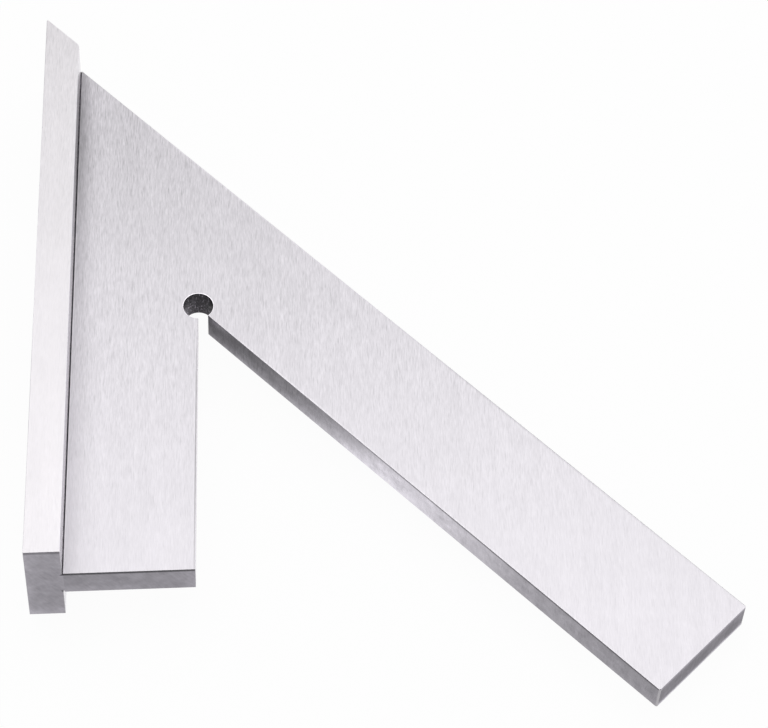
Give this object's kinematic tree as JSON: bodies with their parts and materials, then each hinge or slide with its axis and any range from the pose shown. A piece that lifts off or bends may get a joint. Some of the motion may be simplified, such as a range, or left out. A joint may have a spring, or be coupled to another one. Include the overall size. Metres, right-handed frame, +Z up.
{
  "type": "mitre square",
  "caption": "Fixed 45 degree mitre square: a flat V-shaped ground steel blade with a relief hole, let into a slotted stock that bears on the edge of the work.",
  "frame": {"origin": "under the middle of the whole square's box, at the height of the stock's lower face, which it rests on", "axes": "+X from the stock's guide face into the blade, +Y along the stock from its foot to its mitre tip, +Z up, square to the blade"},
  "size_m": [0.106, 0.1196, 0.0182],
  "materials": {
    "blade_steel": "surface ground, fine grain along the stock",
    "stock_steel": "surface ground, fine grain along its length",
    "pin_steel": "hardened, ends ground flush"
  },
  "bodies": {
    "root": {"blade": "blade_steel", "stock": "stock_steel", "dowel_pin_1": "pin_steel", "dowel_pin_2": "pin_steel", "dowel_pin_3": "pin_steel", "dowel_pin_4": "pin_steel"}
  },
  "joints": []
}
